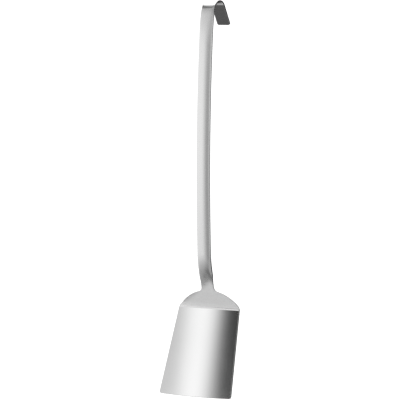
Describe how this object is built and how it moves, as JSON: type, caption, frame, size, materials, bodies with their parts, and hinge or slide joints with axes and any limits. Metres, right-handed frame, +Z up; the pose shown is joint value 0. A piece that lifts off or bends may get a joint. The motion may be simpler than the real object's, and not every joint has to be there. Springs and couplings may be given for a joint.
{
  "type": "kitchen turner",
  "caption": "All-steel long-handled turner: flat bent blade on a crowned strip handle that folds into a hanging hook.",
  "frame": {"origin": "inside of the hook's crest, at the middle of the sheet's width, where a rail or pin carries the turner", "axes": "+Z up along the hanging turner, +X across the blade, -Y towards the front, the side that the blade's tip comes forward to"},
  "size_m": [0.1028, 0.0526, 0.4409],
  "materials": {
    "handle_steel": "satin, fine grain along the strip",
    "blade_steel": "satin, fine grain along the blade"
  },
  "bodies": {
    "root": {"handle": "handle_steel", "blade": "blade_steel"}
  },
  "joints": []
}
